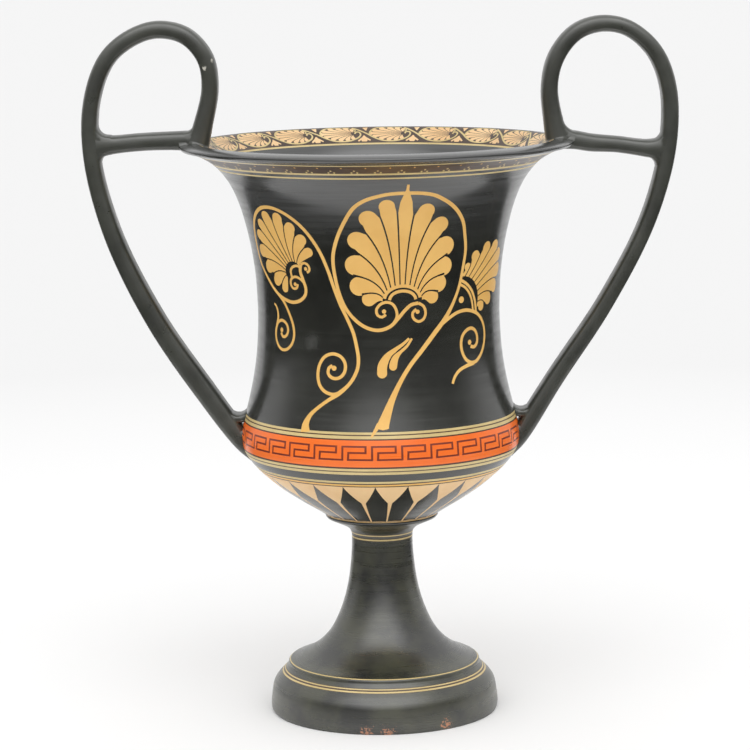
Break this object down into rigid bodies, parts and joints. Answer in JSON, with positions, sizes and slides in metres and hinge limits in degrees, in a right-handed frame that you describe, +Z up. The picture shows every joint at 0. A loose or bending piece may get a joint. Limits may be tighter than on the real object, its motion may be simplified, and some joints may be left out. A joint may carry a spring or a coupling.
{
  "type": "kantharos",
  "caption": "Tall two-handled pottery drinking cup (kantharos) with high loop handles, stemmed foot, black gloss and painted palmettes, key band and rays.",
  "frame": {"origin": "centre of the standing ring's flat underside, on the cup's turning axis, at the middle of the part's base", "axes": "+Z up the turning axis, from the foot to the mouth; the two handles lie along +X and -X; -Y is the main painted front"},
  "size_m": [0.2796, 0.1844, 0.3296],
  "materials": {
    "black_gloss": "satin black slip gloss over fired clay, with ochre and orange painted ornament"
  },
  "bodies": {
    "root": {"kantharos": "black_gloss"}
  },
  "joints": []
}
